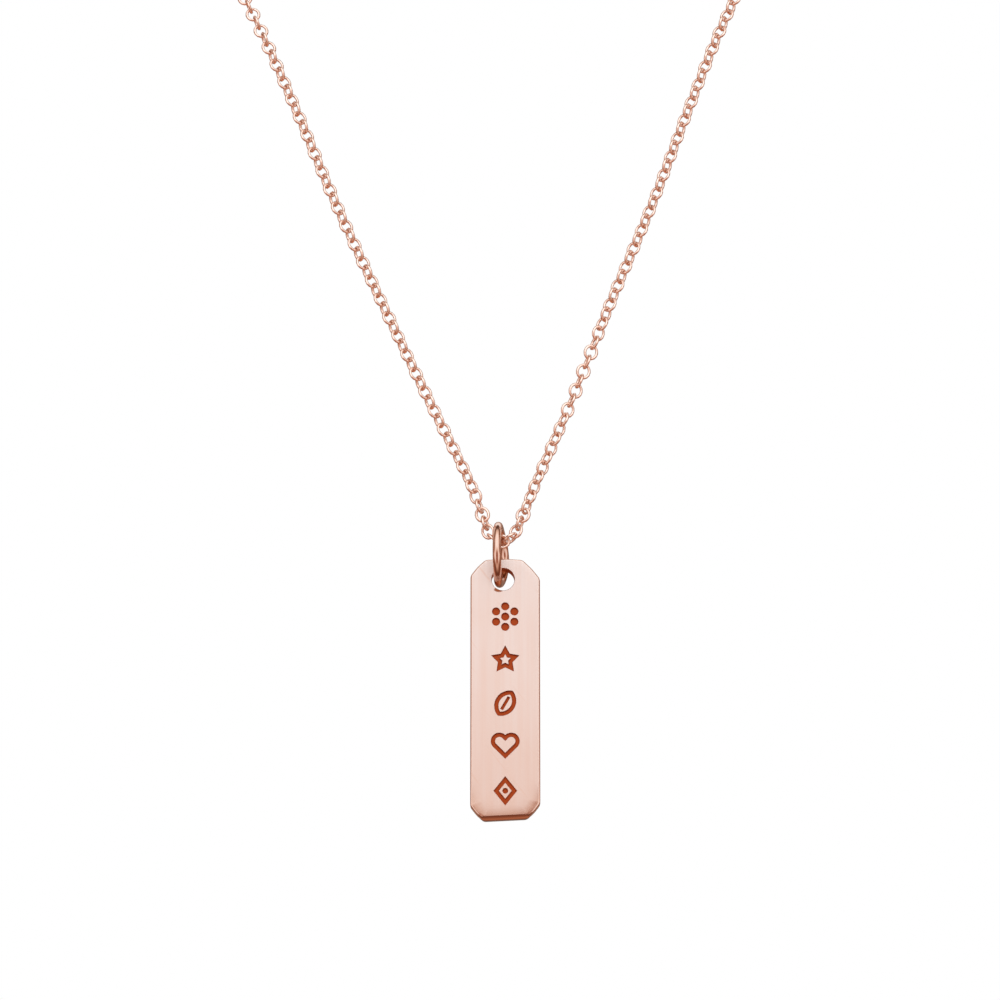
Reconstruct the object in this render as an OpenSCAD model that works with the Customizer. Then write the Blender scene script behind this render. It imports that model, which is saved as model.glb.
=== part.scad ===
// Bar necklace: a flat bar with clipped corners hangs on a jump ring from a fine chain of slightly oval links.
// Millimetres, +Z up, front towards -Y. The origin is at the nape, in the middle of the clasp.

/* [Bar] */
// Height of the bar
bar_h = 24.75; // [23.5:0.25:30]
// Width of the bar
bar_w = 6.5; // [5.5:0.1:8]
// Thickness of the bar
bar_t = 1.4; // [1.2:0.1:1.6]
// Radius of the worn and polished edges
bar_edge = 0.25; // [0.1:0.05:0.4]
// Width of the clipped corner at the top left
clip_tl = 1.4; // [0.8:0.05:1.8]
// Width of the clipped corner at the top right
clip_tr = 1.65; // [0.8:0.05:1.8]
// Width of the clipped corners at the bottom
clip_b = 1.25; // [0.8:0.05:1.8]
// Height of a clipped corner against its width
clip_slope = 1.1; // [0.9:0.05:1.3]
// How far a clipped corner bulges outwards in its middle
clip_bulge = 0.06; // [0:0.01:0.1]
// How far the ends of a clipped corner are rounded off
clip_round = 0.25; // [0.1:0.05:0.45]
// How far the top edge is arched
top_arch = 0.1; // [0:0.02:0.2]
// How much lower the bottom edge is at its left end than at its right
bottom_slant = 0.2; // [0:0.05:0.3]
// Diameter of the hole for the jump ring
hole_d = 2.15; // [1.9:0.05:2.3]
// Distance from the top edge to the middle of the hole
hole_drop = 1.9; // [1.8:0.05:2.2]
// How far the hole sits left of the middle of the bar
hole_shift = 0.2; // [0:0.05:0.3]

/* [Engraving] */
// Distance from the top edge to the middle of the first mark
mark_drop = 5.5; // [5:0.1:6]
// Spacing of the five marks
mark_pitch = 4.15; // [3.8:0.05:4.2]
// Half the height of a mark
mark_r = 1.35; // [1.1:0.05:1.5]
// Width of an engraved stroke
stroke_w = 0.36; // [0.25:0.01:0.4]
// Depth of the engraving
mark_depth = 0.2; // [0.1:0.05:0.3]

/* [Jump ring] */
// Outer diameter of the jump ring
ring_d = 6.2; // [5.8:0.1:6.6]
// Wire of the jump ring
ring_wire = 0.8; // [0.6:0.05:0.85]
// How far the jump ring is turned from the line of sight, in degrees
ring_turn = 8; // [0:1:12]
// How far the jump ring hangs left of the middle of the lowest link
ring_shift = 0.1; // [0:0.05:0.15]
// Clearance between the lowest link and the jump ring above it
ring_gap = 0.3; // [0.2:0.05:0.35]
// Clearance between the jump ring and the top of the bar's hole
bar_gap = 0.85; // [0.3:0.05:0.85]

/* [Chain] */
// Width of a link, from outside to outside
link_d = 1.44; // [1.44:0.01:1.48]
// Length of a link against its width
link_long = 1.08; // [1.06:0.01:1.08]
// Wire of a link
link_wire = 0.18; // [0.15:0.01:0.18]
// Distance from link to link along the chain
link_pitch = 1.03; // [1.01:0.01:1.03]
// How much closer each of the links beside the lowest one sits, where the chain is slack
link_bunch = 0.17; // [0.12:0.01:0.17]
// Links on each side of the lowest one that are built as loose links
front_links = 58; // [20:1:100]
// Rings of the tube on each side that stands for the rest of the chain
tube_rings = 39; // [30:1:40]

/* [Clasp] */
// Outer diameter of the round clasp
clasp_d = 5.6; // [5:0.1:6]
// Wire of the round clasp
clasp_wire = 1; // [0.9:0.05:1.05]
// Outer diameter of the clasp's small eye
eye_d = 2; // [1.9:0.05:2.1]
// Wire of the clasp's small eye
eye_wire = 0.45; // [0.4:0.05:0.5]
// Outer diameter of the end ring that the clasp takes
end_d = 3.4; // [3.3:0.05:3.5]
// Wire of the end ring
end_wire = 0.6; // [0.5:0.05:0.6]

/* [Hidden] */
gold = [0.93, 0.72, 0.64];
dark_gold = [0.78, 0.5, 0.4];
round_fn = 48;
wire_fn = 24;
tube_sides = 8;
knob_h = 1.1;
seat_gap = 0.3;
bunched = 5;

// The lowest point of the chain's centre line.
vertex = [0, -100, -122.2];

// The chain's centre line from the clasp's eye, down the left side, round the lowest link
// and up the right side to the end ring. The rows are x, y, z.
route = [
    [-4.5, 0, 0], [-16, -1, 0], [-30, -4.6, -0.6], [-44, -13.5, -2], [-53, -28.5, -4.8],
    [-55.5, -45, -9.5], [-52.5, -60, -16.5], [-46, -73.5, -27], [-38, -84, -40], [-30.7, -91, -54],
    [-24.2, -95.1, -68], [-20, -96.9, -78], [-15.9, -98.2, -88.3], [-11.5, -99.1, -98.3],
    [-6.9, -99.7, -108.3], [-3.2, -100, -116], [-1.8, -100, -119.7], [-1.4, -100, -121.02],
    [-0.88, -100, -121.82],
    vertex,
    [0.88, -100, -121.82], [1.4, -100, -121.02], [1.95, -100, -119.7], [3.4, -100, -116],
    [6.6, -99.7, -108.3], [10.4, -99.1, -98.3], [14.4, -98.2, -88.3], [18.1, -96.9, -78],
    [21.9, -95.1, -68], [28.2, -91, -54], [36.5, -84, -40], [45.2, -73.5, -27],
    [52.3, -60, -16.5], [55.5, -45, -9.5], [53, -28.5, -4.8], [44, -13.5, -2],
    [30, -4.6, -0.6], [16, -1, 0], [4.35, 0, 0]
];
vertex_at = 19;

// How far the links are turned about the chain, in degrees, against their number from the lowest
// link. Links to the left have negative numbers. The rows are number, turn.
link_turns = [
    [-100, 0], [-56, 0], [-50, 32], [-35, 38], [-21, 43], [-7, 45], [-4, 80], [-2, 60], [0, 90],
    [2, 60], [4, 80], [6, 45], [14, 40], [17, 12], [19, 3], [22, 12], [26, 45], [100, 45]
];

// A point of the smooth line through the route, at u = 0 .. 1 between two of its points.
function route_point(i, u) =
    let (n = len(route), a = route[max(i - 1, 0)], b = route[i], c = route[i + 1], d = route[min(i + 2, n - 1)])
    b + u * (c - a) / 2 + u * u * (a - 2.5 * b + 2 * c - d / 2) + u * u * u * (3 * b - a - 3 * c + d) / 2;

steps = 12;
line = concat([for (i = [0 : len(route) - 2], k = [0 : steps - 1]) route_point(i, k / steps)], [route[len(route) - 1]]);

// The length of the line up to each of its points, starting from the clasp's eye.
function lengths(points, i = 1, sums = [0]) =
    i == len(points) ? sums
    : lengths(points, i + 1, concat(sums, [sums[i - 1] + norm(points[i] - points[i - 1])]));

line_at = lengths(line);
line_x = [for (i = [0 : len(line) - 1]) [line_at[i], line[i][0]]];
line_y = [for (i = [0 : len(line) - 1]) [line_at[i], line[i][1]]];
line_z = [for (i = [0 : len(line) - 1]) [line_at[i], line[i][2]]];
line_length = line_at[len(line) - 1];
vertex_length = line_at[vertex_at * steps];

function along(s) = [lookup(s, line_x), lookup(s, line_y), lookup(s, line_z)];
function heading(s) = let (d = along(s + 0.3) - along(s - 0.3)) d / norm(d);

// The chain runs through the jump ring, and the jump ring through the bar's hole.
ring_r = (ring_d - ring_wire) / 2;
ring_centre = vertex + [-ring_shift, 0, link_d / 2 + ring_gap + ring_wire / 2 - ring_r];
pivot = ring_centre - [0, 0, ring_r];
hole_centre = pivot + [hole_shift, 0, ring_wire / 2 + bar_gap - hole_d / 2];
bar_top = hole_centre + [hole_shift, 0, hole_drop];

module torus(outer_d, wire_d) {
    rotate_extrude($fn = round_fn) translate([(outer_d - wire_d) / 2, 0]) circle(d = wire_d, $fn = wire_fn);
}

// A clipped corner of the bar's outline, from its end on the side to its end on the top or bottom edge.
function clip(x, z, w) =
    let (sx = sign(x), sz = sign(z), h = w * clip_slope, out = clip_bulge)
    [[x, z - sz * h], [x - sx * w / 2 + sx * out, z - sz * h / 2 + sz * out], [x - sx * w, z]];

function reversed(list) = [for (i = [len(list) - 1 : -1 : 0]) list[i]];

// Three points in place of a corner p, on a curve from one of its sides to the other.
function rounded(before, p, after) =
    let (
        a = p + clip_round * (before - p) / norm(before - p),
        b = p + clip_round * (after - p) / norm(after - p)
    )
    [a, (a + 2 * p + b) / 4, b];

// The bar's outline with its middle at the origin, drawn smaller all round by inset.
function bar_outline(inset) =
    let (
        w = bar_w / 2 - inset,
        h = bar_h / 2 - inset,
        low = [0, -bottom_slant / 2],
        p = concat(
            clip(w, h, clip_tr), [[0, h + top_arch]], reversed(clip(-w, h, clip_tl)),
            [for (c = clip(-w, -h, clip_b)) c + low], [for (c = reversed(clip(w, -h, clip_b))) c - low]
        ),
        n = len(p)
    )
    [for (i = [0 : n - 1], c = rounded(p[(i + n - 1) % n], p[i], p[(i + 1) % n])) c];

module bar_blank() {
    hull()
        for (a = [0 : 22.5 : 90])
            rotate([90, 0, 0])
                linear_extrude(bar_t - 2 * bar_edge * (1 - sin(a)), center = true)
                    polygon(bar_outline(bar_edge * (1 - cos(a))));
}

// Seven round dots, one in the middle of six.
module dot_flower() {
    dot_r = mark_r * 0.27;
    circle(r = dot_r, $fn = wire_fn);
    for (a = [30 : 60 : 330]) rotate(a) translate([mark_r - dot_r, 0]) circle(r = dot_r, $fn = wire_fn);
}

// A closed shape drawn as a line: every side lies side_at from the middle.
module outline_of(points, side_at) {
    difference() {
        polygon(points);
        polygon(points * (side_at - stroke_w) / side_at);
    }
}

module star() {
    inner_r = mark_r * 0.52;
    points = [for (k = [0 : 9]) (k % 2 == 0 ? mark_r : inner_r) * [sin(36 * k), cos(36 * k)]];
    side = points[1] - points[0];
    side_at = abs(side[0] * points[0][1] - side[1] * points[0][0]) / norm(side);
    outline_of(points, side_at);
}

module lozenge() {
    half_w = mark_r * 0.8;
    outline_of([[0, mark_r], [half_w, 0], [0, -mark_r], [-half_w, 0]], mark_r * half_w / norm([mark_r, half_w]));
    circle(d = stroke_w * 1.4, $fn = wire_fn);
}

// The shape between two arcs that meet in a point at both ends, with a rib.
module leaf() {
    half_w = mark_r * 0.7;
    arc_r = (mark_r * mark_r + half_w * half_w) / (2 * half_w);
    rotate(-30) {
        difference() {
            leaf_blade(arc_r, arc_r - half_w);
            leaf_blade(arc_r - stroke_w, arc_r - half_w);
        }
        square([stroke_w * 0.7, mark_r], center = true);
    }
}

module leaf_blade(arc_r, shift) {
    intersection() {
        translate([shift, 0]) circle(r = arc_r, $fn = round_fn);
        translate([-shift, 0]) circle(r = arc_r, $fn = round_fn);
    }
}

// Two half discs on the upper sides of a square that stands on its corner.
module heart() {
    side = mark_r * 1.15;
    w = stroke_w;
    translate([0, side / sqrt(2)]) rotate(-135) difference() {
        union() {
            square(side);
            translate([side / 2, 0]) circle(d = side, $fn = round_fn);
            translate([0, side / 2]) circle(d = side, $fn = round_fn);
        }
        translate([w, 0]) square([side - 2 * w, side - w]);
        translate([0, w]) square([side - w, side - 2 * w]);
        translate([side / 2, 0]) circle(d = side - 2 * w, $fn = round_fn);
        translate([0, side / 2]) circle(d = side - 2 * w, $fn = round_fn);
    }
}

module mark(i) {
    if (i == 0) dot_flower();
    if (i == 1) star();
    if (i == 2) leaf();
    if (i == 3) heart();
    if (i == 4) lozenge();
}

module bar() {
    color(gold) difference() {
        translate(bar_top - [0, 0, bar_h / 2]) bar_blank();
        translate(hole_centre) rotate([90, 0, 0]) cylinder(h = 2 * bar_t, d = hole_d, center = true, $fn = round_fn);
        for (i = [0 : 4])
            translate(bar_top - [0, bar_t / 2 - mark_depth, mark_drop + i * mark_pitch])
                rotate([90, 0, 0]) linear_extrude(bar_t) mark(i);
    }
}

module jump_ring() {
    color(dark_gold) translate(ring_centre) rotate([0, 0, -ring_turn]) rotate([0, 90, 0]) torus(ring_d, ring_wire);
}

// A loose link, its plane along the chain: edge-on to the front at a roll of 0.
module link(at, direction, roll) {
    translate(at)
        rotate([0, -asin(direction[2]), atan2(direction[1], direction[0])])
            rotate([roll, 0, 0]) scale([link_long, 1, 1]) torus(link_d, link_wire);
}

module chain_front() {
    color(gold) for (i = [-front_links : front_links]) {
        s = vertex_length + i * link_pitch - sign(i) * min(abs(i), bunched) * link_bunch;
        link(along(s), heading(s), 90 * (abs(i) % 2) + lookup(i, link_turns));
    }
}

// A tube along the chain's line from one length to another.
module chain_tube(from, to) {
    up = [0, 0, 1];
    rings = [
        for (k = [0 : tube_rings - 1])
            let (
                s = from + (to - from) * k / (tube_rings - 1),
                d = heading(s),
                side = cross(d, up) / norm(cross(d, up)),
                rise = cross(side, d)
            )
            for (a = [0 : 360 / tube_sides : 359]) along(s) + link_d / 2 * (cos(a) * side + sin(a) * rise)
    ];
    last = (tube_rings - 1) * tube_sides;
    walls = [
        for (k = [0 : tube_rings - 2], a = [0 : tube_sides - 1])
            let (b = (a + 1) % tube_sides, here = k * tube_sides, next = here + tube_sides)
            [here + a, here + b, next + b, next + a]
    ];
    near_cap = [[for (a = [tube_sides - 1 : -1 : 0]) a]];
    far_cap = [[for (a = [0 : tube_sides - 1]) last + a]];
    polyhedron(points = rings, faces = concat(near_cap, walls, far_cap), convexity = 4);
}

module chain_back() {
    reach = front_links * link_pitch - bunched * link_bunch + link_long * link_d / 2 + seat_gap;
    color(gold) {
        chain_tube(seat_gap + 0.1, vertex_length - reach);
        chain_tube(vertex_length + reach, line_length - seat_gap - 0.15);
    }
}

module clasp() {
    eye_x = -(clasp_d + eye_d) / 2 + 0.2;
    knob_r = clasp_wire * 0.4;
    color(gold) {
        rotate([90, 0, 0]) torus(clasp_d, clasp_wire);
        translate([eye_x, 0, 0]) rotate([90, 0, 0]) torus(eye_d, eye_wire);
        translate([0, 0, clasp_d / 2 - 0.2]) cylinder(h = knob_h, r = knob_r, $fn = wire_fn);
        translate([0, 0, clasp_d / 2 - 0.2 + knob_h]) sphere(r = knob_r, $fn = wire_fn);
    }
}

module end_ring() {
    end_x = (clasp_d - clasp_wire) / 2 + (end_d - end_wire) / 2 - clasp_wire / 2 - end_wire / 2 - 0.1;
    color(dark_gold) translate([end_x, 0, 0]) torus(end_d, end_wire);
}

bar();
jump_ring();
chain_front();
chain_back();
clasp();
end_ring();
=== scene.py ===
# %% [markdown]
# # Bar necklace
# A flat rose gold bar hangs on a jump ring from a fine cable chain. The construction is
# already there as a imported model, at its real size: this script loads it and gives it its looks.
# Everything is in metres, in the model's own frame: +Z is up, the engraved front faces -Y, and the
# origin is at the nape, in the middle of the clasp.

# %% Load the frame
import bpy
import bmesh
import math
from mathutils import Matrix, Vector
from mathutils.geometry import delaunay_2d_cdt


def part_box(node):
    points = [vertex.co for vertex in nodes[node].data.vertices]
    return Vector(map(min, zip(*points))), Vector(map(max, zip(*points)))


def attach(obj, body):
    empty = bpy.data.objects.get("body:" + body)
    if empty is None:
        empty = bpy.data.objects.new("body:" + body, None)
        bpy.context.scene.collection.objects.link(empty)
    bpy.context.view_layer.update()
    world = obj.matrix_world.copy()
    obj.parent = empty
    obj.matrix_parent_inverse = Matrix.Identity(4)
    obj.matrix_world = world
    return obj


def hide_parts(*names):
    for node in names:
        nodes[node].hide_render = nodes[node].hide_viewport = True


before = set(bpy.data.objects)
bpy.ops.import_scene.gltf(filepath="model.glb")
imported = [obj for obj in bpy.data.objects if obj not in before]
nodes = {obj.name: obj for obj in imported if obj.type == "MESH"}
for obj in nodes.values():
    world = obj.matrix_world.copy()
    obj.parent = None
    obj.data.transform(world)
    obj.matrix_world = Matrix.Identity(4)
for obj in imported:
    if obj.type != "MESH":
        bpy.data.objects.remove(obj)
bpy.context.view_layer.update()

MM = 0.001
scene = bpy.context.scene
print("nodes:", sorted(nodes))

# %% [markdown]
# ## The camera
# The photograph looks slightly up at the hanging bar: its bottom edge and the upper wall of its hole
# both show. It also has hardly any perspective, so the lens is long and stands well back. The scale at
# the bar is the bar's real width over its width in the photograph.

# %% Camera
PHOTO_SIZE = 1000
BAR_WIDTH_PX = 69.2
BAR_WIDTH = 6.5 * MM
VERTEX = Vector((0, -100, -122)) * MM
VERTEX_PX = (502, 539.6)
LOOK_UP = math.radians(15)
LENS_MM = 200
SENSOR_MM = 36


def new_object(name, data):
    """An object in the scene, at the origin and unturned."""
    obj = bpy.data.objects.new(name, data)
    scene.collection.objects.link(obj)
    return obj


photo_width = BAR_WIDTH / BAR_WIDTH_PX * PHOTO_SIZE
distance = photo_width * LENS_MM / SENSOR_MM
forward = Vector((0, math.cos(LOOK_UP), math.sin(LOOK_UP)))
image_up = Vector((0, -math.sin(LOOK_UP), math.cos(LOOK_UP)))
pixel = photo_width / PHOTO_SIZE
aim = VERTEX.copy()
aim.x += (PHOTO_SIZE / 2 - VERTEX_PX[0]) * pixel
aim += image_up * (VERTEX_PX[1] - PHOTO_SIZE / 2) * pixel

camera = new_object("camera", bpy.data.cameras.new("camera"))
camera.data.lens = LENS_MM
camera.data.sensor_width = SENSOR_MM
camera.data.clip_start = 10 * MM
camera.location = aim - forward * distance
camera.rotation_euler = forward.to_track_quat("-Z", "Y").to_euler()
scene.camera = camera
print(f"camera {distance * 1000:.0f} mm from the bar")

# %% [markdown]
# ## The chain's line
# A chain hangs along one smooth line. The same points as in the model's source run from
# the clasp's eye, down the left side, round the lowest link and up the right side to the end ring.
# A smooth curve through them is drawn as two poly curves that both start at the lowest link, so the
# links can be counted outwards from there on each side.

# %% Chain line
CHAIN_ROUTE = [
    (-4.5, 0, 0), (-16, -1, 0), (-30, -4.6, -0.6), (-44, -13.5, -2), (-53, -28.5, -4.8),
    (-55.5, -45, -9.5), (-52.5, -60, -16.5), (-46, -73.5, -27), (-38, -84, -40), (-30.7, -91, -54),
    (-24.2, -95.1, -68), (-20, -96.9, -78), (-15.9, -98.2, -88.3), (-11.5, -99.1, -98.3),
    (-6.9, -99.7, -108.3), (-3.2, -100, -116), (-1.8, -100, -119.7), (-1.4, -100, -121.02),
    (-0.88, -100, -121.82),
    (0, -100, -122.2),
    (0.88, -100, -121.82), (1.4, -100, -121.02), (1.95, -100, -119.7), (3.4, -100, -116),
    (6.6, -99.7, -108.3), (10.4, -99.1, -98.3), (14.4, -98.2, -88.3), (18.1, -96.9, -78),
    (21.9, -95.1, -68), (28.2, -91, -54), (36.5, -84, -40), (45.2, -73.5, -27),
    (52.3, -60, -16.5), (55.5, -45, -9.5), (53, -28.5, -4.8), (44, -13.5, -2),
    (30, -4.6, -0.6), (16, -1, 0), (4.35, 0, 0),
]
LOWEST = CHAIN_ROUTE.index((0, -100, -122.2))
ROUTE_STEPS = 12


def smooth_line(points):
    """A Catmull-Rom line through the points, in metres."""
    p = [Vector(point) * MM for point in points]
    line = []
    for i in range(len(p) - 1):
        a, b, c, d = p[max(i - 1, 0)], p[i], p[i + 1], p[min(i + 2, len(p) - 1)]
        for k in range(ROUTE_STEPS):
            u = k / ROUTE_STEPS
            line.append(
                b
                + u * (c - a) / 2
                + u * u * (a - 2.5 * b + 2 * c - d / 2)
                + u * u * u * (3 * b - a - 3 * c + d) / 2
            )
    return line + [p[-1]]


def line_length(line):
    """The length of a line of points, in metres."""
    return sum((b - a).length for a, b in zip(line, line[1:]))


whole_line = smooth_line(CHAIN_ROUTE)
left_line = whole_line[LOWEST * ROUTE_STEPS::-1]
right_line = whole_line[LOWEST * ROUTE_STEPS:]
print(f"chain line {line_length(left_line) * 1000:.1f} + {line_length(right_line) * 1000:.1f} mm")

# %% [markdown]
# ## The links
# Equal links of one wire, each a quarter turn on from the last, are what Geometry Nodes do best:
# one small oval link is placed at equal steps along the curve, with its rotation taken from the curve's
# tangent and normal, and every second one rolled by 90 degrees. Along a real chain the links also
# turn slowly together, from face-on to corner-on and back. That slow turn is written as the curve's
# tilt, so the tree reads it from the normal. Each link also gets a slight roll of its own.

# %% Chain settings
LINK_WIDTH = 1.45 * MM
LINK_LONG = 1.12
LINK_WIRE = 0.28 * MM
LINKS_PER_SIDE = 219
LINK_BUNCH = 0.17 * MM
BUNCHED = 5
LINK_SIDES = 14
WIRE_SIDES = 6
LINK_WOBBLE = math.radians(3)
LINK_SEED = 7
TURNS_LEFT = [
    (0, 90), (2, 60), (4, 80), (7, 38), (10, 32), (14, 32), (20, 36), (27, 37), (33, 39), (38, 42),
    (49, 47), (53, 45), (55, 41), (57, 31), (60, 28), (70, 0), (219, 0),
]
TURNS_RIGHT = [
    (0, 90), (2, 60), (4, 80), (6, 45), (8, 38), (13, 37), (15, 18), (19, 9), (21, 9), (23, 27), (25, 43),
    (27, 50), (34, 46), (39, 41), (43, 38), (48, 38), (53, 34), (60, 31), (195, 31), (212, 0), (219, 0),
]


def turn_at(table, number):
    """The links' slow turn, in radians, at a link's number from the lowest one."""
    for (n0, t0), (n1, t1) in zip(table, table[1:]):
        if number <= n1:
            return math.radians(t0 + (t1 - t0) * (number - n0) / (n1 - n0))
    return math.radians(table[-1][1])


def link_number(walked, pitch):
    """The number, whole or not, that a link would have at a length along the line."""
    slack = BUNCHED * (pitch - LINK_BUNCH)
    if walked < slack:
        return walked / (pitch - LINK_BUNCH)
    return BUNCHED + (walked - slack) / pitch


def chain_curve(name, line, turns, pitch):
    """A poly curve along the line, its tilt following the table of turns."""
    data = bpy.data.curves.new(name, "CURVE")
    data.dimensions = "3D"
    data.twist_mode = "Z_UP"
    spline = data.splines.new("POLY")
    spline.points.add(len(line) - 1)
    walked = 0.0
    for i, point in enumerate(line):
        walked += (point - line[i - 1]).length if i else 0.0
        spline.points[i].co = (*point, 1)
        spline.points[i].tilt = turn_at(turns, link_number(walked, pitch))
    return new_object(name, data)


# %% Node tree helpers
def new_tree(name, inputs):
    """An empty Geometry Nodes tree with named inputs and a geometry output."""
    made = bpy.data.node_groups.new(name, "GeometryNodeTree")
    made.is_modifier = True
    for label, kind in inputs.items():
        made.interface.new_socket(name=label, in_out="INPUT", socket_type="NodeSocket" + kind)
    made.interface.new_socket(name="Geometry", in_out="OUTPUT", socket_type="NodeSocketGeometry")
    return made, made.nodes.new("NodeGroupInput").outputs


def feed(made, socket, value):
    """Links a socket to another one, or sets it to a plain value."""
    if isinstance(value, bpy.types.NodeSocket):
        made.links.new(value, socket)
    else:
        socket.default_value = value


def add(made, kind, **inputs):
    """A node with some of its inputs set or linked, by their names with _ for a space."""
    node = made.nodes.new(kind)
    for name, value in inputs.items():
        label = name.replace("_", " ")
        socket = next(s for s in node.inputs if s.name == label and s.enabled)
        feed(made, socket, value)
    return node


def flow(made, kind, **inputs):
    """Adds such a node too, and returns its first output for the next node to take."""
    return add(made, kind, **inputs).outputs[0]


def maths(made, operation, a, b=0.0):
    """The result of one sum, in a Geometry Nodes tree or a shader's."""
    node = made.nodes.new("ShaderNodeMath")
    node.operation = operation
    feed(made, node.inputs[0], a)
    feed(made, node.inputs[1], b)
    return node.outputs[0]


def set_input(modifier, name, value):
    """Sets a modifier's input by the identifier of the socket with that name."""
    for item in modifier.node_group.interface.items_tree:
        if item.in_out == "INPUT" and item.name == name:
            modifier[item.identifier] = value


def bake_nodes(obj, name):
    """The evaluated result of an object's modifiers as a new plain mesh object."""
    bpy.context.view_layer.update()
    graph = bpy.context.evaluated_depsgraph_get()
    mesh = bpy.data.meshes.new_from_object(obj.evaluated_get(graph))
    bpy.data.objects.remove(obj)
    return new_object(name, mesh)


# %% One link, with its inner ends marked
CONTACT_FROM = 0.55
CONTACT_FULL = 0.95


def oval_link(made, width, length, wire):
    """A slightly oval link in its own XY plane, the chain running along X. The attribute contact is
    1 at its two ends, where its neighbours interlock and rub, and 0 along its sides."""
    radius = maths(made, "MULTIPLY", maths(made, "SUBTRACT", width, wire), 0.5)
    circle = flow(made, "GeometryNodeCurvePrimitiveCircle", Resolution=LINK_SIDES, Radius=radius)
    stretch = flow(made, "ShaderNodeCombineXYZ", X=length, Y=1.0, Z=1.0)
    ring = flow(made, "GeometryNodeTransform", Geometry=circle, Scale=stretch)
    half_wire = maths(made, "MULTIPLY", wire, 0.5)
    profile = flow(made, "GeometryNodeCurvePrimitiveCircle", Resolution=WIRE_SIDES, Radius=half_wire)
    torus = flow(made, "GeometryNodeCurveToMesh", Curve=ring, Profile_Curve=profile)
    xyz = add(made, "ShaderNodeSeparateXYZ", Vector=flow(made, "GeometryNodeInputPosition"))
    along = maths(made, "DIVIDE", maths(made, "ABSOLUTE", xyz.outputs["X"]), radius)
    near = add(made, "ShaderNodeMapRange", Value=along, From_Min=CONTACT_FROM, From_Max=CONTACT_FULL)
    near.interpolation_type = "SMOOTHSTEP"
    contact = near.outputs[0]
    return flow(made, "GeometryNodeStoreNamedAttribute", Geometry=torus, Name="contact", Value=contact)


# %% The chain's tree
def chain_tree():
    """Places links along a curve, every second one a quarter turn on."""
    made, given = new_tree(
        "cable chain",
        {
            "Geometry": "Geometry", "Links": "Int", "First": "Int", "Pitch": "Float", "Bunch": "Float",
            "Bunched": "Float", "Width": "Float", "Length": "Float", "Wire": "Float", "Wobble": "Float",
            "Seed": "Int", "Material": "Material",
        },
    )
    points = flow(made, "GeometryNodePoints", Count=given["Links"])
    number = maths(made, "ADD", flow(made, "GeometryNodeInputIndex"), given["First"])
    pulled = maths(made, "MULTIPLY", maths(made, "MINIMUM", number, given["Bunched"]), given["Bunch"])
    walked = maths(made, "SUBTRACT", maths(made, "MULTIPLY", number, given["Pitch"]), pulled)

    sample = made.nodes.new("GeometryNodeSampleCurve")
    sample.mode = "LENGTH"
    sample.use_all_curves = True
    feed(made, sample.inputs["Curves"], given["Geometry"])
    feed(made, sample.inputs["Length"], walked)
    position, tangent, normal = (sample.outputs[name] for name in ("Position", "Tangent", "Normal"))
    placed = flow(made, "GeometryNodeSetPosition", Geometry=points, Position=position)

    facing = add(made, "FunctionNodeAxesToRotation", Primary_Axis=tangent, Secondary_Axis=normal)
    facing.primary_axis = "X"
    facing.secondary_axis = "Y"
    quarter = maths(made, "MULTIPLY", maths(made, "MODULO", number, 2.0), math.pi / 2)
    least = maths(made, "MULTIPLY", given["Wobble"], -1.0)
    wobble = add(made, "FunctionNodeRandomValue", Min=least, Max=given["Wobble"], Seed=given["Seed"])
    drawn = next(s for s in wobble.outputs if s.enabled)
    angle = maths(made, "ADD", quarter, drawn)
    roll = flow(made, "FunctionNodeAxisAngleToRotation", Axis=(1, 0, 0), Angle=angle)
    turned = add(made, "FunctionNodeRotateRotation", Rotation=facing.outputs[0], Rotate_By=roll)
    turned.rotation_space = "LOCAL"

    links = add(made, "GeometryNodeInstanceOnPoints", Points=placed, Rotation=turned.outputs[0])
    feed(made, links.inputs["Instance"], oval_link(made, given["Width"], given["Length"], given["Wire"]))
    real = flow(made, "GeometryNodeRealizeInstances", Geometry=links.outputs[0])
    smooth = flow(made, "GeometryNodeSetShadeSmooth", Geometry=real)
    finished = flow(made, "GeometryNodeSetMaterial", Geometry=smooth, Material=given["Material"])
    feed(made, made.nodes.new("NodeGroupOutput").inputs[0], finished)
    return made


link_chain = chain_tree()
print("chain tree:", len(link_chain.nodes), "nodes")

# %% [markdown]
# ## Rose gold
# All the metal is the same rose gold, though the chain's copy of it is painted paler, as light on its
# fine wire. The colour of a metal is the colour of its reflections, so the shader is fully metallic and
# nearly all of the look comes from roughness and from what there is to reflect. The finishes differ in
# grain, wear, shine and painted shade. Each is built from noise on the object's own coordinates, at the
# real size of its marks, so it stays on the piece when the piece moves.

# %% Shader helpers
ROSE = (0.74, 0.573, 0.5)
ROSE_DEEP = (0.665, 0.333, 0.213)
# Painted shade: the dark copper of the jump ring where it hangs in the hole, and of its shadow and
# reflection on the bar.
SHADE_COPPER = (0.36, 0.13, 0.06)
# Painted shade deep in the engraved cuts.
DARK_COPPER = (0.37, 0.069, 0.02)


def metal(name):
    """A new fully metallic material, its node tree and its shader."""
    material = bpy.data.materials.new(name)
    material.use_nodes = True
    shader = material.node_tree.nodes["Principled BSDF"]
    shader.inputs["Metallic"].default_value = 1.0
    return material, material.node_tree, shader


def noise(made, scale, detail, stretch=(1, 1, 1), tilt=0.0):
    """Noise over the object's own coordinates, scale spots to a metre, stretched along axes that are
    tilted in the plane of the face."""
    place = made.nodes.new("ShaderNodeTexCoord").outputs["Object"]
    size = [1 / (scale * s) for s in stretch]
    mapping = add(made, "ShaderNodeMapping", Vector=place, Rotation=(0, tilt, 0), Scale=size)
    mapping.vector_type = "TEXTURE"
    return flow(made, "ShaderNodeTexNoise", Vector=mapping.outputs[0], Scale=1.0, Detail=detail)


def spread(made, value, low, high, from_low=0.0, from_high=1.0):
    """Value from one range brought to another, and kept inside it."""
    old = {"From_Min": from_low, "From_Max": from_high}
    return flow(made, "ShaderNodeMapRange", Value=value, To_Min=low, To_Max=high, **old)


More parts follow.
